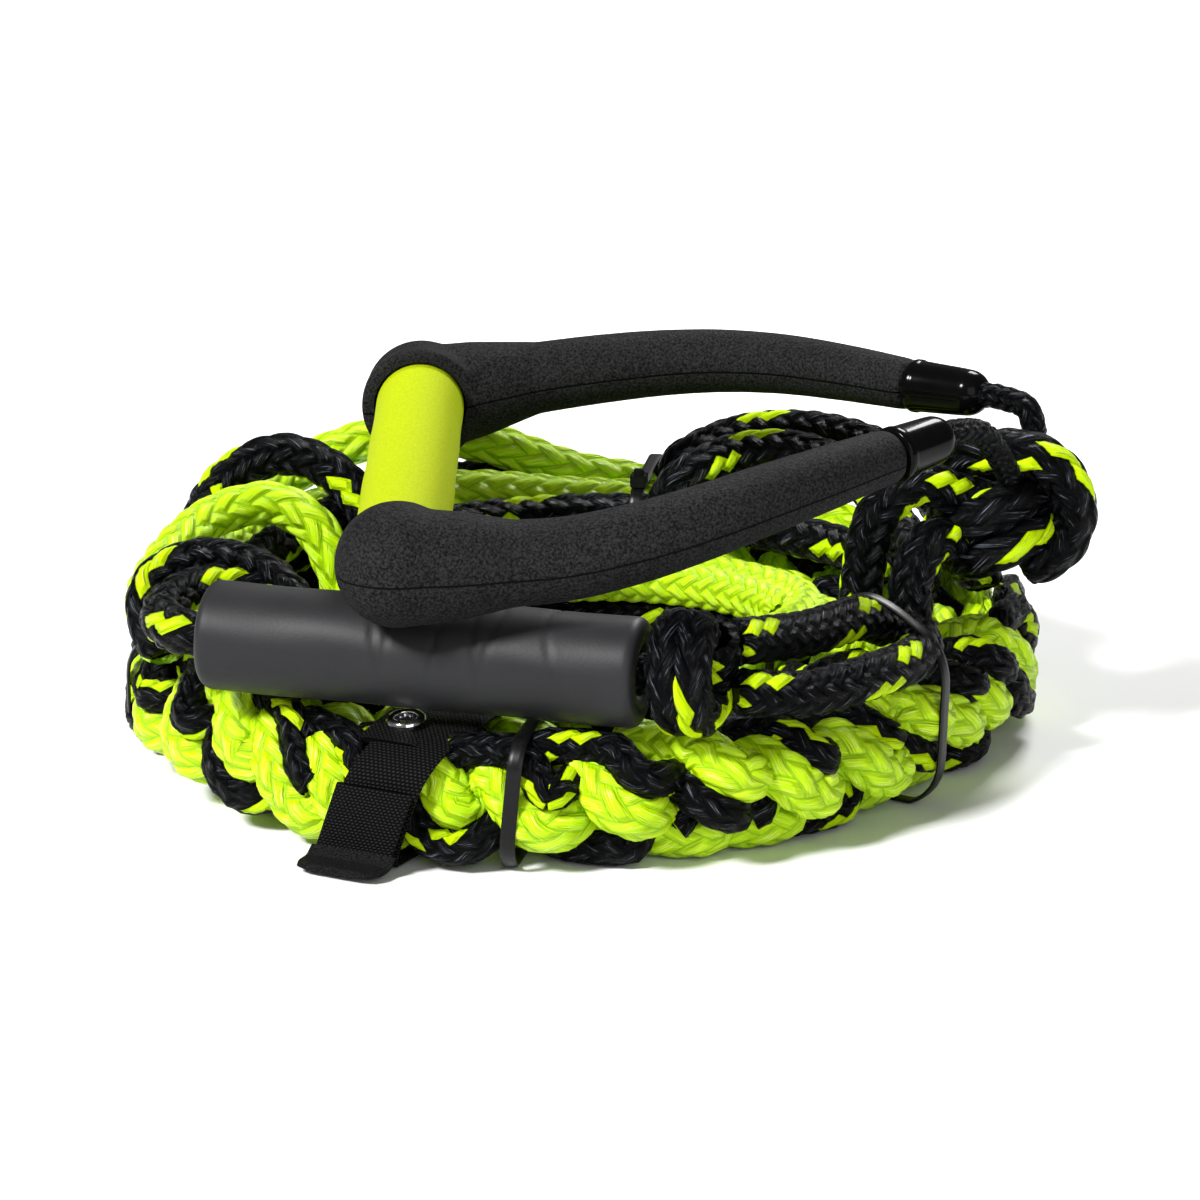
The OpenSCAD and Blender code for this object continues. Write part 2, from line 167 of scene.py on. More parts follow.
def ring_r(azimuth):
    """Radius of the middle of the plait's outer turn, at an azimuth in degrees."""
    azimuth = np.asarray(azimuth, float)
    away = (azimuth - DENT_AT + 540) % 360 - 180
    dent = np.where(np.abs(away) < DENT_HALF, (1 + np.cos(np.pi * away / DENT_HALF)) / 2, 0)
    flat = np.maximum(0, -np.sin(np.radians(azimuth))) ** 2
    return RING_R - FRONT_FLAT * flat - DENT_DEPTH * dent


def spot(azimuth, radius, height):
    """A point, in millimetres, from its azimuth in degrees, radius and height."""
    a = np.radians(azimuth)
    return np.stack(np.broadcast_arrays(radius * np.cos(a), radius * np.sin(a), height), -1)


# -------- camera

CAMERA_ELEVATION = math.radians(16)
CAMERA_DISTANCE = 1.65
CAMERA_LENS = 153.45
CAMERA_TARGET = Vector((0, 0, 0.047))
view_line = Vector((0, math.cos(CAMERA_ELEVATION), -math.sin(CAMERA_ELEVATION)))
camera = bpy.data.objects.new("camera", bpy.data.cameras.new("camera"))
camera.data.lens = CAMERA_LENS
camera.data.sensor_width = 36
camera.data.clip_end = 30
camera.location = CAMERA_TARGET - CAMERA_DISTANCE * view_line
camera.rotation_mode = "QUATERNION"
camera.rotation_quaternion = view_line.to_track_quat("-Z", "Y")
bpy.context.scene.collection.objects.link(camera)
bpy.context.scene.camera = camera
bpy.context.scene.view_settings.view_transform = "Standard"


# -------- materials


class Shader:
    """A node material under construction. Sockets and numbers are both taken as inputs."""

    def __init__(self, name, **settings):
        self.material = bpy.data.materials.new(name)
        self.material.use_nodes = True
        self.tree = self.material.node_tree
        self.surface = self.tree.nodes["Principled BSDF"]
        for socket, value in settings.items():
            self.surface.inputs[socket.replace("_", " ")].default_value = value

    def node(self, kind, inputs=(), **options):
        made = self.tree.nodes.new(kind)
        for key, value in options.items():
            setattr(made, key, value)
        for key, value in dict(inputs).items():
            if isinstance(value, bpy.types.NodeSocket):
                self.tree.links.new(value, made.inputs[key])
            else:
                made.inputs[key].default_value = value
        return made

    def calc(self, operation, *values):
        return self.node("ShaderNodeMath", enumerate(values), operation=operation).outputs[0]

    def pick(self, factor, low, high):
        """low where the factor is 0 and high where it is 1: two numbers or sockets."""
        made = self.node("ShaderNodeMix", {0: factor, 2: low, 3: high}, data_type="FLOAT")
        return made.outputs[0]

    def tint(self, factor, low, high):
        """A colour between two, by the factor."""
        ends = [v if isinstance(v, bpy.types.NodeSocket) else (*v, 1) for v in (low, high)]
        made = self.node("ShaderNodeMix", {0: factor, 6: ends[0], 7: ends[1]}, data_type="RGBA")
        return made.outputs[2]

    def ramp(self, value, low, high):
        """0 below low and 1 above high, with a smooth step between."""
        made = self.node(
            "ShaderNodeMapRange",
            {"Value": value, "From Min": low, "From Max": high},
            interpolation_type="SMOOTHSTEP",
        )
        return made.outputs[0]

    def noise(self, vector, scale, detail=3, roughness=0.55):
        made = self.node(
            "ShaderNodeTexNoise",
            {"Vector": vector, "Scale": scale, "Detail": detail, "Roughness": roughness},
        )
        return made.outputs[0]

    def place(self):
        return self.node("ShaderNodeTexCoord").outputs["Object"]

    def attribute(self, name, part="Vector"):
        return self.node("ShaderNodeAttribute", attribute_name=name).outputs[part]

    def split(self, vector):
        return self.node("ShaderNodeSeparateXYZ", {0: vector}).outputs[:]

    def join(self, x, y, z):
        return self.node("ShaderNodeCombineXYZ", {0: x, 1: y, 2: z}).outputs[0]

    def finish(self, color, roughness=None, bumps=()):
        """Links colour, roughness and a chain of (height, distance in metres, strength)."""
        self.tree.links.new(color, self.surface.inputs["Base Color"])
        if roughness is not None:
            self.tree.links.new(roughness, self.surface.inputs["Roughness"])
        normal = None
        for height, distance, strength in bumps:
            inputs = {"Height": height, "Distance": distance, "Strength": strength}
            if normal is not None:
                inputs["Normal"] = normal
            normal = self.node("ShaderNodeBump", inputs).outputs[0]
        if normal is not None:
            self.tree.links.new(normal, self.surface.inputs["Normal"])
        return self.material


def braid_material(name, light, deep, roughness, shine, glint_color, glint_share, flecked=False):
    """Hollow-braid rope: its picks come from the braid coordinates that rope() lays on the tube.

    A flecked rope has two lime yarns among its others."""
    s = Shader(name, Specular_IOR_Level=shine)
    u, v, _ = s.split(s.attribute("braid"))
    a, b = s.calc("ADD", u, v), s.calc("SUBTRACT", u, v)
    whole_a, whole_b = s.calc("FLOOR", a), s.calc("FLOOR", b)
    cell = s.calc("FLOORED_MODULO", s.calc("ADD", whole_a, whole_b), 4)
    b_on_top = s.calc("GREATER_THAN", cell, 1.5)
    across = s.pick(b_on_top, s.calc("FRACT", a), s.calc("FRACT", b))
    along_a = s.calc("FLOORED_MODULO", s.calc("ADD", whole_a, b), 4)
    along_b = s.calc("FLOORED_MODULO", s.calc("SUBTRACT", s.calc("ADD", a, whole_b), 2), 4)
    along = s.calc("MULTIPLY", s.pick(b_on_top, along_a, along_b), 0.5)
    carrier = s.pick(
        b_on_top,
        s.calc("FLOORED_MODULO", whole_a, CARRIERS),
        s.calc("ADD", s.calc("FLOORED_MODULO", whole_b, CARRIERS), CARRIERS),
    )
    side = s.calc("PINGPONG", across, 0.5)
    end = s.calc("PINGPONG", along, 0.5)
    crown = s.calc("MULTIPLY", s.ramp(side, 0.0, 0.3), s.ramp(end, 0.0, 0.22))
    gap = s.calc("MULTIPLY", s.ramp(side, 0.0, 0.1), s.ramp(end, 0.0, 0.08))
    strand = s.join(s.calc("MULTIPLY", across, 15), s.calc("MULTIPLY", along, 1.5), carrier)
    spread = s.node("ShaderNodeVectorMath", {0: s.place(), 1: (90, 90, 90)}, operation="MULTIPLY")
    strand = s.node("ShaderNodeVectorMath", {0: strand, 1: spread.outputs[0]}).outputs[0]
    fibres = s.noise(strand, 1.0)
    streak = s.ramp(fibres, 0.36, 0.66)
    # Painted highlight: glints on the fibres over the picks' crowns
    glint = s.calc("MULTIPLY", s.ramp(fibres, 0.56, 0.72), s.calc("POWER", crown, 2))
    cloud = s.noise(s.place(), 55, 2)
    # Painted shade: darker in the gaps between picks, and in random patches that stand in for shade
    # in the hollows; the darkening between fibres is partly their own tone, partly painted shade
    shade = s.calc("MULTIPLY", s.pick(gap, 0.4, 1.0), s.pick(streak, 0.72, 1.0))
    shade = s.calc("MULTIPLY", shade, s.pick(s.ramp(cloud, 0.3, 0.7), 0.85, 1.0))
    body = s.tint(shade, deep, light)
    if flecked:
        # Yarns 1 and 2 are the lime ones, with the same painted shade
        is_fleck = s.calc("COMPARE", carrier, 1.5, 0.6)
        body = s.tint(is_fleck, body, s.tint(shade, tuple(0.25 * c for c in LIME), LIME))
    # The painted highlight is mixed into the colour
    body = s.tint(s.calc("MULTIPLY", glint, glint_share), body, glint_color)
    gloss = s.pick(streak, roughness + 0.14, roughness - 0.04)
    bumps = [(fibres, 0.001, 0.85), (crown, 0.0016, 0.7)]
    return s.finish(body, gloss, bumps)


# Rope colours, each with the painted shade of its gaps and hollows
LIME = (0.68, 1.0, 0.001)
LIME_SHADE = (0.09, 0.36, 0.0)
BLACK = (0.0022, 0.0024, 0.003)
BLACK_SHADE = (0.0006, 0.0006, 0.0008)

# Colours of the painted highlights on the ropes' fibres
LIME_GLINT = (0.98, 1.0, 0.5)
BLACK_GLINT = (0.19, 0.21, 0.25)

lime_rope = braid_material("lime_rope", LIME, LIME_SHADE, 0.32, 0.28, LIME_GLINT, 0.75)
black_rope = braid_material("black_rope", BLACK, BLACK_SHADE, 0.24, 0.06, BLACK_GLINT, 0.8, True)
dark_rope = braid_material("dark_rope", BLACK, BLACK_SHADE, 0.24, 0.06, BLACK_GLINT, 0.8)


def pebbled(name, light, deep, cell, roughness, depth, seam=False):
    """Moulded foam: small pebbles, a little cloudiness and, where asked, a parting line.

    cell is a pebble's size in millimetres, and depth is how high it stands in metres."""
    s = Shader(name, Specular_IOR_Level=0.05)
    place = s.place()
    grain = s.noise(place, 1000 / cell, 3, 0.6)
    pebbles = s.node(
        "ShaderNodeTexVoronoi", {"Vector": place, "Scale": 1000 / cell}, feature="SMOOTH_F1"
    ).outputs["Distance"]
    cloud = s.noise(place, 28, 3)
    tone = s.calc("MULTIPLY", s.ramp(grain, 0.32, 0.7), s.pick(cloud, 0.75, 1.1))
    color = s.tint(tone, deep, light)
    bumps = [(pebbles, depth, 0.5), (grain, depth, 0.6)]
    if seam:
        off = s.calc("ABSOLUTE", s.attribute("seam", "Fac"))
        groove = s.ramp(off, 0.1, 0.5)
        color = s.tint(groove, tuple(0.3 * c for c in deep), color)
        bumps.append((groove, 0.0004, 0.8))
    return s.finish(color, s.pick(grain, roughness - 0.06, roughness + 0.06), bumps)


grip_foam = pebbled("grip_foam", (0.435, 0.505, 0.006), (0.33, 0.425, 0.002), 0.9, 0.75, 0.00012)
arm_foam = pebbled(
    "arm_foam", (0.026, 0.026, 0.027), (0.003, 0.003, 0.0033), 0.8, 0.7, 0.0004, seam=True
)


def gloss_black():
    """Dipped vinyl of the end caps."""
    s = Shader("cap_gloss", Coat_Weight=0.14, Coat_Roughness=0.08, Specular_IOR_Level=0.02)
    cloud = s.noise(s.place(), 160, 3)
    color = s.tint(cloud, (0.001, 0.001, 0.0011), (0.003, 0.003, 0.0033))
    return s.finish(color, s.pick(cloud, 0.16, 0.24), [(cloud, 0.00005, 0.4)])


def nylon():
    s = Shader("tie_nylon", Specular_IOR_Level=0.2, Coat_Weight=0.06, Coat_Roughness=0.3)
    grain = s.noise(s.place(), 700, 3)
    color = s.tint(grain, (0.002, 0.002, 0.0022), (0.005, 0.005, 0.0055))
    return s.finish(color, s.pick(grain, 0.3, 0.42), [(grain, 0.00006, 0.4)])


def float_skin():
    """Smooth-skinned foam, a little cloudy, with painted shade in its creases."""
    s = Shader("float_foam", Specular_IOR_Level=0.22)
    place = s.place()
    grain = s.noise(place, 900, 3)
    cloud = s.noise(place, 22, 4)
    crease_shade = s.attribute("crease_shade", "Fac")
    color = s.tint(s.calc("MULTIPLY", cloud, 1.1), (0.01, 0.01, 0.011), (0.022, 0.022, 0.024))
    # Painted shade in the creases
    color = s.tint(crease_shade, color, (0.01, 0.01, 0.0105))
    bumps = [(grain, 0.00008, 0.5), (cloud, 0.0006, 0.5)]
    return s.finish(color, s.pick(cloud, 0.42, 0.56), bumps)


def webbing_material():
    """Woven nylon: rows of raised picks, from the weave coordinates, in millimetres."""
    pick_w, pick_l = 1.5, 0.95
    s = Shader("webbing", Specular_IOR_Level=0.04)
    x, y, _ = s.split(s.attribute("weave"))
    rows = s.calc("DIVIDE", y, pick_l)
    shift = s.calc("MULTIPLY", s.calc("FLOORED_MODULO", s.calc("FLOOR", rows), 2), 0.5)
    across = s.calc("FRACT", s.calc("ADD", s.calc("DIVIDE", x, pick_w), shift))
    along = s.calc("FRACT", rows)
    bump = s.calc(
        "MULTIPLY",
        s.ramp(s.calc("PINGPONG", across, 0.5), 0.02, 0.34),
        s.ramp(s.calc("PINGPONG", along, 0.5), 0.02, 0.4),
    )
    fibres = s.noise(s.join(s.calc("MULTIPLY", x, 2), s.calc("MULTIPLY", y, 9), 0), 1.2)
    # Painted highlight and shade: the picks' crowns lighter and the gaps between them near black,
    # times the fibres' own tone
    shade = s.calc("MULTIPLY", bump, s.pick(fibres, 0.5, 1.2))
    color = s.tint(shade, (0.0005, 0.0005, 0.0006), (0.02, 0.02, 0.021))
    return s.finish(color, s.pick(bump, 0.7, 0.38), [(bump, 0.0005, 0.8), (fibres, 0.0002, 0.4)])


def fuzzy_material():
    """Hook-and-loop tape."""
    s = Shader("hook_loop", Specular_IOR_Level=0.04)
    loops = s.node(
        "ShaderNodeTexVoronoi", {"Vector": s.place(), "Scale": 1500}, feature="F1"
    ).outputs["Distance"]
    fuzz = s.noise(s.place(), 2600, 3, 0.7)
    color = s.tint(s.ramp(fuzz, 0.35, 0.75), (0.002, 0.002, 0.002), (0.028, 0.028, 0.029))
    return s.finish(color, s.pick(fuzz, 0.7, 0.95), [(loops, 0.0006, 0.7), (fuzz, 0.0005, 0.8)])


def bare_metal(name, color, roughness, scale):
    s = Shader(name, Metallic=1.0)
    wear = s.noise(s.place(), scale, 4)
    tone = s.tint(wear, tuple(0.86 * c for c in color), color)
    return s.finish(tone, s.pick(wear, roughness * 0.7, roughness * 1.4), [(wear, 0.00003, 0.3)])


def plain_plastic():
    s = Shader("plug_plastic", Specular_IOR_Level=0.4)
    grain = s.noise(s.place(), 1200, 3)
    color = s.tint(grain, (0.03, 0.03, 0.03), (0.06, 0.06, 0.06))
    return s.finish(color, s.pick(grain, 0.45, 0.6), [(grain, 0.00008, 0.4)])


cap_gloss, tie_nylon, float_foam = gloss_black(), nylon(), float_skin()
webbing, hook_loop = webbing_material(), fuzzy_material()
chrome = bare_metal("eyelet_chrome", (0.9, 0.9, 0.91), 0.1, 300)
aluminium = bare_metal("tube_aluminium", (0.8, 0.81, 0.82), 0.28, 900)
plug_plastic = plain_plastic()


# -------- meshes


def unit(v):
    v = np.asarray(v, float)
    return v / np.linalg.norm(v, axis=-1, keepdims=True)


def along_of(path):
    """The distance along a path to each of its points."""
    return np.concatenate([[0], np.cumsum(np.linalg.norm(np.diff(path, axis=0), axis=1))])


def respaced(line, step):
    """The line again, with its points evenly spaced, about step apart."""
    along = along_of(line)
    at = np.linspace(0, along[-1], max(3, round(along[-1] / step) + 1))
    return np.stack([np.interp(at, along, line[:, k]) for k in range(line.shape[1])], axis=1)


def smooth(points, step):
    """A smooth curve through the points, resampled with its points about step apart."""
    p = np.array(points, float)
    p = np.vstack([2 * p[0] - p[1], p, 2 * p[-1] - p[-2]])
    t = np.linspace(0, 1, 24, endpoint=False)[:, None]
    legs = []
    for a, b, c, d in zip(p, p[1:], p[2:], p[3:]):
        bend = 2 * a - 5 * b + 4 * c - d
        legs.append(0.5 * (2 * b + (c - a) * t + bend * t**2 + (3 * b - a - 3 * c + d) * t**3))
    return respaced(np.vstack([*legs, p[-2:-1]]), step)


def frames(path, up=None):
    """Tangent and two cross directions at each point of a path; up steers them where given."""
    t = unit(np.gradient(path, axis=0))
    if up is not None:
        n = unit(up - (up * t).sum(1, keepdims=True) * t)
        return t, n, np.cross(t, n)
    n = np.zeros_like(t)
    start = UP if abs(t[0, 2]) < 0.8 else np.array([1.0, 0.0, 0.0])
    n[0] = unit(start - (start @ t[0]) * t[0])
    for i in range(1, len(t)):
        n[i] = unit(n[i - 1] - (n[i - 1] @ t[i]) * t[i])
    return t, n, np.cross(t, n)


def axes_of(direction):
    """A rotation whose third column is the direction."""
    return np.array(Vector(direction).normalized().to_track_quat("Z", "Y").to_matrix())


def piece(name, points, faces, material):
    """A mesh object from points in millimetres."""
    mesh = bpy.data.meshes.new(name)
    mesh.from_pydata((np.asarray(points, float) * MM).tolist(), [], faces)
    mesh.update()
    mesh.shade_smooth()
    mesh.materials.append(material)
    made = bpy.data.objects.new(name, mesh)
    bpy.context.scene.collection.objects.link(made)
    return made


def coordinates(mesh, name, values):
    """Coordinates of a weave at each face corner, as a UV layer. End faces come last and take 0."""
    corners = np.zeros((len(mesh.loops), 2), np.float32)
    corners[: len(values)] = values
    mesh.uv_layers.new(name=name).data.foreach_set("uv", corners.ravel())


def grid_faces(rings, sides, closed_rings=False):
    """Quads between rings of points, each ring closed on itself, with the ring and side of each."""
    spans = rings if closed_rings else rings - 1
    i, k = np.meshgrid(np.arange(spans), np.arange(sides), indexing="ij")
    j, m = (i + 1) % rings, (k + 1) % sides
    quads = np.stack([i * sides + k, j * sides + k, j * sides + m, i * sides + m], -1)
    return quads.reshape(-1, 4)[:, ::-1].tolist(), i.ravel(), k.ravel()


def end_faces(rings, sides):
    """The two faces that close a tube of rings at its ends."""
    last = (rings - 1) * sides
    return [list(range(sides)), [last + x for x in reversed(range(sides))]]


def pick_height(a, b):
    """Height of a 2-over-2 braid: 0 in its gaps and 1 on the crown of a pick."""
    whole_a, whole_b = np.floor(a), np.floor(b)

    def crown(along, across):
        top = np.clip(np.sin(np.pi * along / 2), 0, 1) * (along < 2)
        return np.sqrt(top) * np.clip(np.sin(np.pi * across), 0, 1) ** 0.6

    on_a = crown(np.mod(whole_a + b, 4), a - whole_a)
    on_b = crown(np.mod(a + whole_b - 2, 4), b - whole_b)
    return np.maximum(on_a, on_b)


def rope(name, path, width, material, thick=None, pitch=8, sides=36, depth=1.1, up=None):
    """A hollow-braid rope. The braid shows in its mesh and in its material.

    pitch is the length of one pick, and depth is how far the picks stand out."""
    _, n, b = frames(path, up)
    angle = 2 * np.pi * np.arange(sides) / sides
    u, v = CARRIERS * np.arange(sides) / sides, along_of(path) / pitch
    height = (pick_height(u + v[:, None], u - v[:, None]) - 0.6) * depth
    # The ends are rounded off
    taper = np.ones(len(path))
    taper[[0, -1]], taper[[1, -2]] = 0.62, 0.9
    half_w = (width / 2 * taper)[:, None] + height
    half_t = ((thick or width) / 2 * taper)[:, None] + height
    points = (
        path[:, None]
        + (half_w * np.cos(angle))[..., None] * n[:, None]
        + (half_t * np.sin(angle))[..., None] * b[:, None]
    ).reshape(-1, 3)
    faces, i, k = grid_faces(len(path), sides)
    made = piece(name, points, faces + end_faces(len(path), sides), material)
    corner_u = CARRIERS * np.stack([k + 1, k + 1, k, k], 1) / sides
    corner_v = v[np.stack([i, i + 1, i + 1, i], 1)]
    coordinates(made.data, "braid", np.stack([corner_u, corner_v], -1).reshape(-1, 2))
    return made


def lathe(name, start, direction, profile, material, sides=48, hollow=False):
    """A turned piece. profile is (along, radius) in millimetres; a hollow one's profile closes."""
    angle = 2 * np.pi * np.arange(sides) / sides
    circle = np.stack([np.cos(angle), np.sin(angle), 0 * angle], -1)
    rings = np.array([radius * circle + along * UP for along, radius in profile])
    points = rings.reshape(-1, 3) @ axes_of(direction).T + np.array(start)
    faces, _, _ = grid_faces(len(profile), sides, closed_rings=hollow)
    if not hollow:
        faces += end_faces(len(profile), sides)
    made = piece(name, points, [f[::-1] for f in faces], material)
    made.data.set_sharp_from_angle(angle=math.radians(50))
    return made


def rounded(points, radius, steps=5):
    """A closed outline with each corner replaced by an arc-like curve."""
    p = np.array(points, float)
    out = []
    for before, here, after in zip(np.roll(p, 1, 0), p, np.roll(p, -1, 0)):
        sides = np.linalg.norm(here - before), np.linalg.norm(after - here)
        reach = min(radius, *(side / 2.05 for side in sides))
        a, c = here + reach * unit(before - here), here + reach * unit(after - here)
        for t in np.linspace(0, 1, steps):
            out.append((1 - t) ** 2 * a + 2 * t * (1 - t) * here + t**2 * c)
    return np.array(out)


def outline_of(points, lift):
    """A rounded, evenly spaced closed outline, lifted so that its band clears the floor."""
    line = rounded(points, KEEPER_CORNER)
    line[:, 1] = np.maximum(line[:, 1], lift)
    return respaced(np.vstack([line, line[:1]]), 1.0)[:-1]


def leaning(slope, middle):
    """A sideways lean: none at the middle height, and slope for each millimetre above it."""
    return lambda height: slope * (height - middle)


def band(name, azimuth, line, width, thick, material, lean=None, closed=True, across=11):
    """A flat band along a line in the plane of an azimuth, which is its inner side.

    width may change along the line, and lean(height) moves the band sideways."""
    count = len(line)
    if closed:
        tangent = unit(np.roll(line, -1, 0) - np.roll(line, 1, 0))
    else:
        tangent = unit(np.gradient(line, axis=0))
    out = np.stack([tangent[:, 1], -tangent[:, 0]], -1)
    wide = np.broadcast_to(width, count)
    side = np.linspace(-0.5, 0.5, across)
    edge = 0.5 * thick * np.sqrt(np.clip(1 - np.abs(2 * side) ** 8, 0.2, 1))
    section = list(zip(side, edge)) + list(zip(side[::-1], -edge[::-1]))
    radial, sideways = spot(azimuth, 1, 0), spot(azimuth + 90, 1, 0)
    rings = []
    for share, lift in section:
        flat = line + (lift + thick / 2) * out
        shift = share * wide + (0 if lean is None else lean(flat[:, 1]))
        rings.append(flat[:, :1] * radial + flat[:, 1:] * UP + shift[:, None] * sideways)
    sides = len(section)
    faces, i, k = grid_faces(count, sides, closed_rings=closed)
    caps = [] if closed else end_faces(count, sides)
    made = piece(name, np.stack(rings, 1).reshape(-1, 3), faces + caps, material)
    made.data.set_sharp_from_angle(angle=math.radians(60))
    walk = along_of(line)
    walk = np.append(walk, walk[-1] + np.linalg.norm(line[-1] - line[0]))
    shares = np.array([share for share, _ in section])
    ks = np.stack([k + 1, k + 1, k, k], 1) % sides
    ends = np.stack([i, i + 1, i + 1, i], 1)
    coordinates(made.data, "weave", np.stack([shares[ks] * wide[0], walk[ends]], -1).reshape(-1, 2))
    return made


def keeper_outline(azimuth, height, cut):
    """The inner outline of a tie, in (radius, height), counter-clockwise."""
    r0 = ring_r(azimuth) - PLAIT_IN
    r1 = ring_r(azimuth) + PLAIT_HALF - TIE_HUG
    over = OVER_TIES.get(azimuth, [(r1, height - cut), (r1 - cut, height), (r0, height)])
    foot = [(r0, FLOOR_GAP), (r1 - TIE_FOOT, FLOOR_GAP), (r1, FLOOR_GAP + TIE_FOOT)]
    return np.array([*foot, *over])


# -------- plait and coil

LINE_STEP = 1.2
TURNS = 2
# Length of one strand's weave, and its swings up and down and in and out
PLAIT_PERIOD, PLAIT_SWING, PLAIT_DEPTH = 76, 12.5, 10
# The plait is turned about its own line, in radians
PLAIT_ROLL = -0.85
# Width and thickness of its fat and thin ropes
FAT_W, FAT_T, THIN_W, THIN_T = 14.8, 16, 10.2, 11.2


def wander(s, period, size, phase):
    """A slow, uneven drift of a value along a rope, at distances s and of about the given size."""
    x = 2 * np.pi * s / period
    return size * (0.6 * np.sin(x + phase) + 0.4 * np.sin(2.3 * x + 1.7 * phase))


def spiral(offsets, start, heights, step):
    """Turns round the coil: offsets and heights are given at each quarter turn."""
    quarters = np.arange(len(offsets))
    q = np.linspace(0, len(offsets) - 1, 60 * len(offsets))
    azimuth = start + 90 * q
    offset = np.interp(q, quarters, offsets)
    height = np.interp(q, quarters, heights)
    return respaced(spot(azimuth, ring_r(azimuth) - offset, height), step)


def plait_paths():
    """For each strand, the paths of its fat and thin ropes, and their outward vectors."""
    # The first turn is the outer one, and the second lies inside it
    offsets = np.interp(np.arange(4 * TURNS + 1), [0, 3.2, 4.8, 8], [1, 1, 29, 29])
    centre = spiral(offsets, 150, [RING_H / 2] * len(offsets), 1.25)
    s = along_of(centre)
    t, out, _ = frames(centre, np.column_stack([centre[:, :2], 0 * s]))
    azimuth = np.degrees(np.arctan2(centre[:, 1], centre[:, 0]))
    # The strap presses the ropes down under its crown
    top = RING_H + 1.5 - 8 * np.exp(-(((azimuth - STRAP_AT) / 10) ** 2))
    roll = PLAIT_ROLL + wander(s, 330, 0.5, 1)
    strands = []
    for strand in range(3):
        phase = 2 * np.pi * (s / PLAIT_PERIOD + strand / 3) + wander(s, 260, 0.35, strand)
        swing = PLAIT_SWING + wander(s, 170, 1.2, 2 + strand)
        flat = swing * np.tanh(1.4 * np.sin(phase)) / np.tanh(1.4)
        deep = -PLAIT_DEPTH * np.sin(2 * phase)
        side = np.cos(roll) * flat + np.sin(roll) * deep
        depth = np.cos(roll) * deep - np.sin(roll) * flat
        lean = np.arctan(np.gradient(side, s))
        flip = -1 if strand == 1 else 1
        twist = wander(s, 200, 0.5, 3 * strand)
        # The fat rope, then the thin one: places beside and ahead of the line, and half height
        paths = []
        for away, half, front in ((-4.6 * flip, 7.8, -1.0), (7.4 * flip, 5.2, 2.2)):
            beside, ahead = away * np.cos(twist), front + away * np.sin(twist)
            height = RING_H / 2 + side + beside * np.cos(lean)
            reach = PLAIT_HALF + 0.5 - half
            outward = np.clip(depth + ahead, -reach, reach)
            path = centre - t * (beside * np.sin(lean))[:, None] + out * outward[:, None]
            path[:, 2] = np.clip(height, half + 0.8, top - half)
            paths.append(path)
        strands.append((*paths, out))
    return strands


plait = []
for strand, (fat, thin, up) in enumerate(plait_paths()):
    lime = rope(f"plait_lime_{strand}", fat, FAT_W, lime_rope, FAT_T, depth=1.3, up=up)
    black = rope(
        f"plait_black_{strand}", thin, THIN_W, black_rope, THIN_T, 6.8, sides=30, depth=1, up=up
    )
    plait += [(lime, fat, (FAT_W + FAT_T) / 2), (black, thin, (THIN_W + THIN_T) / 2)]

# Plain line inside the plait: three layers, each of two turns
coil_offsets = [53.5] * 4 + [68] * 5
low = spiral(coil_offsets, 60, [8] * 9, 1.6)
middle = spiral(coil_offsets, 200, [21.5] * 9, 1.6)
top = spiral([68, 68, 69, 68, 60, 54, 53.5, 54, 54], 20, [35, 35, 36, 34, 37, 35, 34, 36, 35], 1.4)
inner_lines = [
    (rope("coil_line_low", low, LINE_D - 1, black_rope, sides=24, depth=1), low),
    (rope("coil_line_middle", middle, LINE_D - 1, black_rope, pitch=7, sides=28), middle),
    (rope("coil_line_top", top, LINE_D, lime_rope, pitch=7, sides=32), top),
]
plait_lines = []
for name, route, material in (
    ("coil_line_under", UNDER_ROUTE, black_rope),
    ("coil_line_outer", OUTER_ROUTE, lime_rope),
    ("coil_line_wrap", WRAP_ROUTE, black_rope),
):
    path = smooth(route, LINE_STEP)
    plait_lines.append((rope(name, path, LINE_D, material, sides=32), path))


# -------- lines over the ring


def tucked(route):
    """The route with both of its ends led down among the ropes that it rests on."""
    on, down = LINE_D / 2, LINE_D / 2 * UP
    first, second, before, last = (np.array(route[k], float) for k in (0, 1, -2, -1))
    start = first + on * unit(first - second) - down
    return [start, *route, last + on * unit(last - before) - down]


FLOAT_DIR = unit(FLOAT_RIGHT - FLOAT_LEFT)
FLOAT_JOINT = FLOAT_LEFT - 5 * FLOAT_DIR
# The lead comes out of the float's bore
lead_start = [FLOAT_LEFT + 12 * FLOAT_DIR, FLOAT_JOINT]
# name, route, material, pitch of its braid, CAD node that it stands for
LINES = [
    ("top_green", tucked(GREEN_ROUTE), lime_rope, 10.5, "top_line_green"),
    ("top_loop", tucked(LOOP_ROUTE), black_rope, 8.5, "top_line_loop"),
    ("top_crest", tucked(CREST_ROUTE), lime_rope, 10.5, "top_line_crest"),
    ("top_back", tucked(BACK_ROUTE), lime_rope, 9.5, "top_line_back"),
    ("top_inner", tucked(INNER_ROUTE), black_rope, 8.5, "top_line_inner"),
    ("hump_outer", tucked(HUMP_OUTER_ROUTE), black_rope, 8, "hump_line_outer"),
    ("hump_inner", tucked(HUMP_INNER_ROUTE), black_rope, 8, "hump_line_inner"),
    ("float_lead_line", [*lead_start, *FLOAT_LEAD_ROUTE], black_rope, 7.5, "float_lead"),
    ("tow_lower", TOW_LOWER_ROUTE, black_rope, 7.4, "tow_leg_lower"),
    ("tow_upper", TOW_UPPER_ROUTE, black_rope, 7.4, "tow_leg_upper"),
    ("lead_inner", LEAD_INNER_ROUTE, black_rope, 7.5, "lead_rope_inner"),
    ("lead_outer", LEAD_OUTER_ROUTE, black_rope, 7.5, "lead_rope_outer"),
]


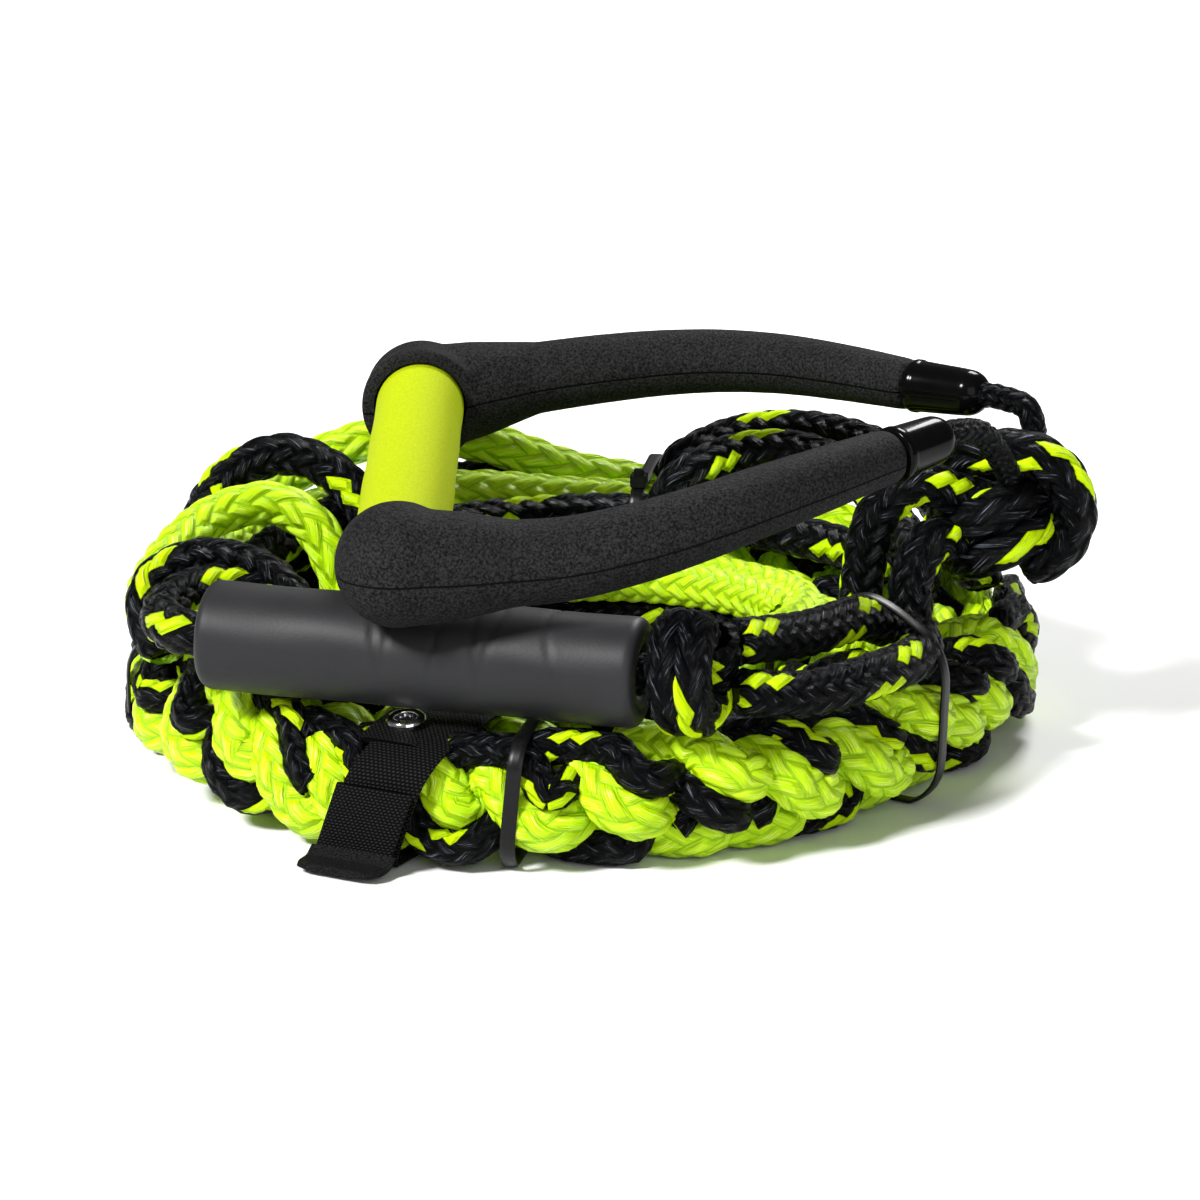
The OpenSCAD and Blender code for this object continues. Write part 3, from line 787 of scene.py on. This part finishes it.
for made, path, diameter in plait:
    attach(made, "coil")
    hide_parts("plait_coil")
for made, path in [*inner_lines, *plait_lines]:
    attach(made, "coil")
for made, _ in inner_lines:
    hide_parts("line_coil")
for name, route, material, pitch, node in LINES:
    path = smooth(route, LINE_STEP)
    made = rope(name, path, LINE_D, material, pitch=pitch)
    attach(made, "coil")
    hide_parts(node)

float_path = np.linspace(FLOAT_JOINT, FLOAT_RIGHT + 2 * FLOAT_DIR, 110)
float_line = rope(
    "float_line_rope", float_path, LINE_D - 1, dark_rope, pitch=7, sides=20, depth=1
)
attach(float_line, "coil")
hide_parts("float_line")


# -------- knots


def knot_path():
    """The big knot: stacked wraps about a leaning axis, and a last one over their right end."""
    turns = np.linspace(-0.35, 1.9, 36)
    angle, rise = 2 * np.pi * turns, np.interp(turns, [-0.35, 1.9], [-18, 9])
    swell = 19.5 * np.sqrt(1 - (rise / 30) ** 2)
    wraps = np.stack([swell * np.sin(angle), -0.8 * swell * np.cos(angle), rise], -1)
    wraps = wraps @ axes_of((-0.3, 0.05, 0.95)).T + (-3.5, 1, -1)
    over = [
        (-13, -6, 17), (-2, -12, 19.5), (10, -13.5, 18), (19, -13, 10), (22, -12, -2),
        (17, -12, -13), (6, -10, -19),
    ]
    return smooth(np.vstack([wraps, over]) + np.array(KNOT_MIDDLE), LINE_STEP)


def wraps_path(centre, direction, radius, length, turns):
    """A helix of turns about an axis."""
    t = np.linspace(0, 1, int(60 * turns))
    angle = 2 * np.pi * turns * t
    flat = np.stack([radius * np.cos(angle), radius * np.sin(angle), length * (t - 0.5)], -1)
    return respaced(flat @ axes_of(direction).T + centre, LINE_STEP)


bridle_knot_path = knot_path()
bridle_knot = rope("bridle_knot_rope", bridle_knot_path, 14.6, black_rope, pitch=9.5, depth=1.3)
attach(bridle_knot, "coil")
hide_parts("bridle_knot")

FLOAT_KNOT_MIDDLE = FLOAT_RIGHT + 14 * FLOAT_DIR + 1.4 * UP
float_knot_path = wraps_path(FLOAT_KNOT_MIDDLE, FLOAT_DIR, 12.2, 12.5, 2.15)
float_knot = rope("float_knot_rope", float_knot_path, LINE_D, black_rope, depth=1.2)
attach(float_knot, "coil")
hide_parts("float_knot")


# -------- handle


def apply_modifiers(made):
    """Replaces an object's mesh by what its modifiers make of it."""
    bpy.context.view_layer.update()
    mesh = bpy.data.meshes.new_from_object(
        made.evaluated_get(bpy.context.evaluated_depsgraph_get())
    )
    made.modifiers.clear()
    made.data = mesh


def arm_cover(name, arm, elbow_y, side, mouth_r, lip):
    """Arm, elbow ball and neck melted into one moulding, cut out for the grip.

    mouth_r and lip are the radius of the neck's mouth and its distance from the elbow."""
    sides = 40
    line = smooth(arm, 1.6)
    path, radii = line[:, :3], line[:, 3]
    _, n, b = frames(path)
    angle = 2 * np.pi * np.arange(sides) / sides
    taper = np.ones(len(path))
    taper[-3:] = 0.995, 0.97, 0.9
    ring = (radii * taper)[:, None, None]
    points = path[:, None] + ring * (
        np.cos(angle)[:, None] * n[:, None] + np.sin(angle)[:, None] * b[:, None]
    )
    faces, _, _ = grid_faces(len(path), sides)
    tube = piece(name, points.reshape(-1, 3), faces + end_faces(len(path), sides), arm_foam)
    elbow = (BAR_X, elbow_y, BAR_Z)
    turn = np.linspace(-np.pi / 2, np.pi / 2, 25)[1:-1]
    ball_profile = [(ELBOW_D / 2 * math.sin(a), ELBOW_D / 2 * math.cos(a)) for a in turn]
    neck_profile = [
        (-4, 15), (0, 18.2), (5, 18.4), (10, mouth_r), (lip, mouth_r), (lip + 0.8, mouth_r - 1),
    ]
    # The heel rounds the underside of the elbow
    heel = path[0] - 1.2 * UP
    heel_profile = [(0, 17.6), (10, 17.2), (20, 16), (30, 14), (40, 12)]
    parts = [
        lathe("part_ball", elbow, (0, side, 0), ball_profile, arm_foam),
        lathe("part_neck", elbow, (0, side, 0), neck_profile, arm_foam),
        lathe("part_heel", heel, path[20] - heel, heel_profile, arm_foam),
    ]
    cut_r = GRIP_D / 2 + 0.9
    cutter = lathe("part_cutter", elbow, (0, side, 0), [(8.5, cut_r), (40, cut_r)], arm_foam)
    with bpy.context.temp_override(
        active_object=tube, object=tube, selected_editable_objects=[tube, *parts]
    ):
        bpy.ops.object.join()
    melt = tube.modifiers.new("melt", "REMESH")
    melt.mode, melt.voxel_size = "VOXEL", 1.0 * MM
    soft = tube.modifiers.new("soft", "SMOOTH")
    soft.factor, soft.iterations = 0.5, 9
    cut = tube.modifiers.new("cut", "BOOLEAN")
    cut.operation, cut.solver, cut.object = "DIFFERENCE", "EXACT", cutter
    apply_modifiers(tube)
    bpy.data.objects.remove(cutter)
    # The parting line runs a little below the arm's middle
    co = np.array([v.co for v in tube.data.vertices]) / MM
    nearest = np.array([np.argmin(((path - p) ** 2).sum(1)) for p in co])
    seam = tube.data.attributes.new("seam", "FLOAT", "POINT")
    above = co[:, 2] - path[nearest, 2] + 0.17 * radii[nearest]
    seam.data.foreach_set("value", above.astype(np.float32))
    tube.data.shade_smooth()
    tube.data.set_sharp_from_angle(angle=math.radians(50))
    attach(tube, "handle")
    return tube


arm_front = arm_cover("arm_front", FRONT_ARM, FRONT_Y, 1, 16.2, 13)
arm_back = arm_cover("arm_back", BACK_ARM, BACK_Y, -1, 19.6, 15)
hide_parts("arm_cover_front")
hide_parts("arm_cover_back")

grip_y, grip_r, grip_bore_r = FRONT_Y + GRIP_START - GRIP_TUCK, GRIP_D / 2, 11.2
grip_l = BACK_Y - FRONT_Y - 2 * (GRIP_START - GRIP_TUCK)
grip_end = [(0, grip_bore_r), (0, grip_r - 0.9), (0.6, grip_r)]
grip_profile = [
    *grip_end,
    *[(x, grip_r + 0.12 * math.sin(x / 9)) for x in np.linspace(3, grip_l - 3, 46)],
    *[(grip_l - x, r) for x, r in reversed(grip_end)],
]
grip = lathe(
    "grip_foam_sleeve", (BAR_X, grip_y, BAR_Z), (0, 1, 0), grip_profile, grip_foam, 64, hollow=True
)
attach(grip, "handle")
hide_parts("grip_sleeve")

for name, arm, tip, node in (
    ("cap_front", FRONT_ARM, FRONT_TIP, "end_cap_front"),
    ("cap_back", BACK_ARM, BACK_TIP, "end_cap_back"),
):
    foot = np.array(arm[-1][:3])
    reach = np.linalg.norm(np.array(tip) - foot)
    dome = [
        (reach - 7.6 + 7.6 * math.sin(a), 7.6 * math.cos(a)) for a in np.linspace(0, 0.98, 9)
    ]
    profile = [
        (0.2, 5), (0.2, 7.9), (0.6, 8.5), (1.2, 8.75), (2.6, 8.75), (3.3, 8.5), (4.0, 8.35),
        (reach - 9.5, 7.75), *dome, (reach - 1.6, 4.4), (reach - 3, 5),
    ]
    cap = lathe(name, foot, np.array(tip) - foot, profile, cap_gloss, 56, hollow=True)
    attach(cap, "handle")
    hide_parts(node)

# Each bridle cord runs from its stopper knot, through the arm, to the big knot; start and end
# are points on its leg, in metres
for ends, arm, tip, y, side, leg, start, end in (
    ("front", FRONT_ARM, FRONT_TIP, FRONT_Y, 1, FRONT_LEG_ROUTE,
     (0.112, -0.047, 0.114), (0.13, -0.015, 0.092)),
    ("back", BACK_ARM, BACK_TIP, BACK_Y, -1, BACK_LEG_ROUTE,
     (0.130, 0.0138, 0.1105), (0.14, 0.006, 0.099)),
):
    inner = [(BAR_X, y + side * 24, BAR_Z), (BAR_X, y + side * 6, BAR_Z), (BAR_X + 4, y, BAR_Z)]
    path = smooth([*inner, *[q[:3] for q in arm[1:]], tip, *leg], 1.0)
    made = rope("bridle_" + ends, path, BRIDLE_D - 1, dark_rope, pitch=4.5, sides=32, depth=0.7)
    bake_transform(made)
    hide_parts("bridle_core_" + ends, "bridle_leg_" + ends)
    middle = np.array((BAR_X, y + side * 31.5, BAR_Z))
    wraps = wraps_path(middle, (0, side, 0), 3.6, 8, 1.8)
    stop = rope("stop_" + ends, wraps, 7, dark_rope, pitch=5, sides=16, depth=0.8)
    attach(stop, "handle")
    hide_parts("stop_knot_" + ends)


# CAD nodes that stay as they are, with a better material
for node, material in (
    ("crossbar_tube", aluminium),
    ("tube_plug_front", plug_plastic),
    ("tube_plug_back", plug_plastic),
):
    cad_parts[node].material_slots[0].material = material


# -------- float

FLOAT_R, BORE_R, RIM = FLOAT_D / 2, 7.8, 3.2
rim = [
    (RIM - RIM * math.cos(a), FLOAT_R - RIM + RIM * math.sin(a)) for a in np.linspace(0, 1.57, 8)
]
barrel = [(x, FLOAT_R) for x in np.linspace(RIM + 1.2, FLOAT_L - RIM - 1.2, 110)]
float_profile = [(2.2, BORE_R), (0.3, BORE_R + 1.6), (0, FLOAT_R - RIM - 2), *rim, *barrel]
float_profile += [(FLOAT_L - x, r) for x, r in reversed(float_profile[: 3 + len(rim)])]
float_start = FLOAT_RIGHT - FLOAT_L * FLOAT_DIR
float_piece = lathe(
    "float_foam_tube", float_start, FLOAT_DIR, float_profile, float_foam, 96, hollow=True
)
co = np.array([v.co for v in float_piece.data.vertices]) / MM
along = (co - float_start) @ FLOAT_DIR
outward = co - float_start - along[:, None] * FLOAT_DIR
far = np.linalg.norm(outward, axis=1)
outward = outward / far[:, None]
on_skin = np.clip((far - 10) / 4, 0, 1)
# The elbow presses a dent into the top of the float, and short creases run out of it
press = unit(np.array([0.12, -0.35, 1.0]))
facing = np.arccos(np.clip(outward @ press, -1, 1))
elbow_at = (np.array([BAR_X + 4, FRONT_Y, BAR_Z]) - float_start) @ FLOAT_DIR
away = along - elbow_at
dent = 1.5 * np.exp(-((away / 13) ** 2) - (facing / 0.55) ** 2)
creases = np.zeros_like(away)
for at, size, slant in (
    (-15, 0.5, 3), (-7, 0.4, -2), (9, 0.55, -3), (17, 0.6, 2), (26, 0.45, -4), (38, 0.3, 5),
):
    line_off = away - at - slant * facing
    creases += size * np.exp(-((line_off / 0.9) ** 2)) * np.exp(-((facing - 0.75) / 0.5) ** 2)
waves = 0.16 * np.sin(along / 7.3 + 1.4 * np.sin(3 * facing)) * np.sin(2.1 * facing)
shift = on_skin * (waves - dent - creases)
co += outward * shift[:, None]
float_piece.data.vertices.foreach_set("co", (co * MM).astype(np.float32).ravel())
# How deep the creases are, kept for the painted shade in them
crease_shade = float_piece.data.attributes.new("crease_shade", "FLOAT", "POINT")
crease_shade.data.foreach_set("value", np.clip(1.6 * creases, 0, 0.8).astype(np.float32))
float_piece.data.update()
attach(float_piece, "float")
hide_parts("float_tube")


# -------- strap, eyelet and closing tab

STRAP_IN, STRAP_OUT = ring_r(STRAP_AT) - PLAIT_IN, ring_r(STRAP_AT) + PLAIT_HALF
CORNER_FOOT, CORNER_RUN, CROWN_LOW, CROWN_RUN, CROWN_TOP = 28, 9, 35.5, 34, 39.2
CROWN_TILT = math.atan2(CROWN_TOP - CROWN_LOW, CROWN_RUN - CORNER_RUN)
crown_foot = np.array([STRAP_OUT - CORNER_RUN, CROWN_LOW])
down_crown = np.array([math.cos(CROWN_TILT), -math.sin(CROWN_TILT)])
off_crown = np.array([math.sin(CROWN_TILT), math.cos(CROWN_TILT)])
strap_outline = [
    (STRAP_IN, FLOOR_GAP), (STRAP_OUT, FLOOR_GAP), (STRAP_OUT, CORNER_FOOT), tuple(crown_foot),
    (STRAP_OUT - CROWN_RUN, CROWN_TOP), (STRAP_IN, CROWN_TOP),
]
strap_lean = leaning(0.36, 17)

strap_line = outline_of(strap_outline, STRAP_T)
strap = band("strap_webbing", STRAP_AT, strap_line, STRAP_W, STRAP_T, webbing, strap_lean)
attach(strap, "coil")
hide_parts("strap_band")

END_L, END_W, EYELET_BACK = 22, 22, 11.5
end_base = crown_foot + STRAP_T * off_crown
end_line = np.array([end_base - x * down_crown for x in np.linspace(0, END_L, 24)])
end_width = END_W * np.sqrt(np.clip(1 - 0.25 * np.exp(-np.linspace(0, END_L, 24) / 0.8), 0, 1))
strap_end = band(
    "strap_end_webbing", STRAP_AT, end_line[::-1], end_width[::-1], STRAP_T, webbing, closed=False
)
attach(strap_end, "coil")
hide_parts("strap_end")

radial = spot(STRAP_AT, 1, 0)
eyelet_base = end_base - EYELET_BACK * down_crown
eyelet_at = eyelet_base[0] * radial + eyelet_base[1] * UP
eyelet_axis = off_crown[0] * radial + off_crown[1] * UP
eyelet_profile = [
    (-2.8, 3.5), (2.7, 3.5), (3.1, 3.65), (3.3, 4.1), (3.35, 4.8), (3.1, 5.5), (2.6, 6.0),
    (2.05, 6.2), (1.9, 6.1), (1.9, 4.7), (-2.0, 4.7), (-2.0, 6.1), (-2.4, 6.2), (-2.8, 5.9),
]
eyelet = lathe("eyelet", eyelet_at, eyelet_axis, eyelet_profile, chrome, 64, hollow=True)
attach(eyelet, "coil")
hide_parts("strap_eyelet", "eyelet_washer")

PATCH_T, HOOK_T, TAB_T, TAB_GAP = 1.2, 1.0, 1.6, 0.35
face = STRAP_OUT + STRAP_T


def patch(name, radius, foot, height, width, thick, material, body, node):
    """A pad of hook or loop tape that stands on the strap's outer face."""
    line = np.array([(radius, z) for z in np.linspace(foot, foot + height, 12)])
    made = band(name, STRAP_AT, line, width, thick, material, strap_lean, closed=False)
    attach(made, body)
    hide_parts(node)


patch("loop_tape", face, 4, 20, STRAP_W - 2, PATCH_T, hook_loop, "coil", "loop_patch")
hook = face + PATCH_T + TAB_GAP
patch("hook_tape", hook, 5, 18, STRAP_W - 4, HOOK_T, hook_loop, "closing_tab", "hook_patch")

tab_r = hook + HOOK_T
LIP_T = 2.4
tab_line = smooth([(tab_r + 1, 4.2), (tab_r, 7), (tab_r, 14), (tab_r, 27)], 0.7)
tab = band(
    "strap_tab_webbing", STRAP_AT, tab_line, STRAP_W, TAB_T, webbing, strap_lean, closed=False
)
lip_route = [(tab_r + 11, 1.2), (tab_r + 5, 1.1), (tab_r + 1.6, 1.8), (tab_r - 0.4, 5.5)]
lip_line = smooth(lip_route, 0.6)
lip_walk = along_of(lip_line)
round_end = np.sqrt(np.clip(1 - (1 - np.clip(lip_walk / 6, 0, 1)) ** 2, 0, 1))
lip = band(
    "strap_tab_lip", STRAP_AT, lip_line, STRAP_W + 3 - 7 * (1 - round_end), LIP_T, hook_loop,
    strap_lean, closed=False,
)
for made in (tab, lip):
    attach(made, "closing_tab")
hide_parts("strap_tab")


# -------- cable ties


def tie_head(name, azimuth, radius, height):
    """The tie's lock: a bevelled block with a slot, and the trimmed tail."""
    mesh = bpy.data.meshes.new(name)
    made = bpy.data.objects.new(name, mesh)
    work = bmesh.new()
    length, wide, tall = 6.4, 5.4, 4.4
    box = bmesh.ops.create_cube(work, size=1)["verts"]
    for v in box:
        v.co = Vector((v.co.x * length, v.co.y * wide, (v.co.z + 0.5) * tall))
    top = max(work.faces, key=lambda f: f.calc_center_median().z)
    bmesh.ops.inset_region(work, faces=[top], thickness=1.1)
    for v in top.verts:
        v.co.z -= 1.0
    tail = bmesh.ops.create_cube(work, size=1)["verts"]
    for v in tail:
        v.co = Vector((v.co.x * 2.2, v.co.y * 3.4, v.co.z * 3 + tall + 0.2))
    edges = [e for e in work.edges if e.calc_face_angle(0) > 0.5]
    bmesh.ops.bevel(work, geom=edges, offset=0.35, segments=2, affect="EDGES")
    axes = np.stack([spot(azimuth, 1, 0), spot(azimuth + 90, 1, 0), UP], 1)
    at = spot(azimuth, radius, height)
    for v in work.verts:
        v.co = Vector((axes @ np.array(v.co) + at) * MM)
    work.to_mesh(mesh)
    work.free()
    mesh.materials.append(tie_nylon)
    bpy.context.scene.collection.objects.link(made)
    return made


for node, (azimuth, height, cut, tilt) in TIES.items():
    outline = keeper_outline(azimuth, height, cut)
    line = outline_of(outline, TIE_T)
    lean = leaning(tilt / height, height / 2)
    loop = band(node + "_band", azimuth, line, TIE_W, TIE_T, tie_nylon, lean, across=7)
    head = tie_head(node + "_head", azimuth, outline[0][0] + 7, outline[-1][1] + TIE_T)
    for made in (loop, head):
        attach(made, "coil")
    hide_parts(node)


# -------- floor and lights

floor_shader = Shader("pale_floor", Roughness=0.85)
floor_tone = floor_shader.noise(floor_shader.place(), 3, 2)
floor_shader.finish(floor_shader.tint(floor_tone, (0.86, 0.86, 0.86), (0.9, 0.9, 0.9)))
floor_mesh = bpy.data.meshes.new("floor")
FLOOR_HALF, FLOOR_Z = 8, -0.0004
corners = [
    (x * FLOOR_HALF, y * FLOOR_HALF, FLOOR_Z) for x, y in ((-1, -1), (1, -1), (1, 1), (-1, 1))
]
floor_mesh.from_pydata(corners, [], [(0, 1, 2, 3)])
floor_mesh.materials.append(floor_shader.material)
floor = bpy.data.objects.new("floor", floor_mesh)
bpy.context.scene.collection.objects.link(floor)


def lamp(kind, name, place, strength, **settings):
    """A light that faces the middle of the object."""
    light = bpy.data.lights.new(name, kind)
    light.energy = strength
    for key, value in settings.items():
        setattr(light, key, value)
    made = bpy.data.objects.new(name, light)
    made.location = place
    made.rotation_mode = "QUATERNION"
    made.rotation_quaternion = (CAMERA_TARGET - made.location).to_track_quat("-Z", "Y")
    bpy.context.scene.collection.objects.link(made)


lamp("SUN", "key", (-1.05, -0.9, 1.3), 5.1, angle=math.radians(12))
lamp("AREA", "fill", (0.5, -1.7, 0.75), 9, size=1.2)
lamp("AREA", "back", (0.5, 1.1, 1.2), 26, size=0.5)
world = bpy.data.worlds.new("studio")
bpy.context.scene.world = world
world.use_nodes = True
sky = world.node_tree.nodes["Background"].inputs
sky["Color"].default_value, sky["Strength"].default_value = (1, 1, 1, 1), 0.14
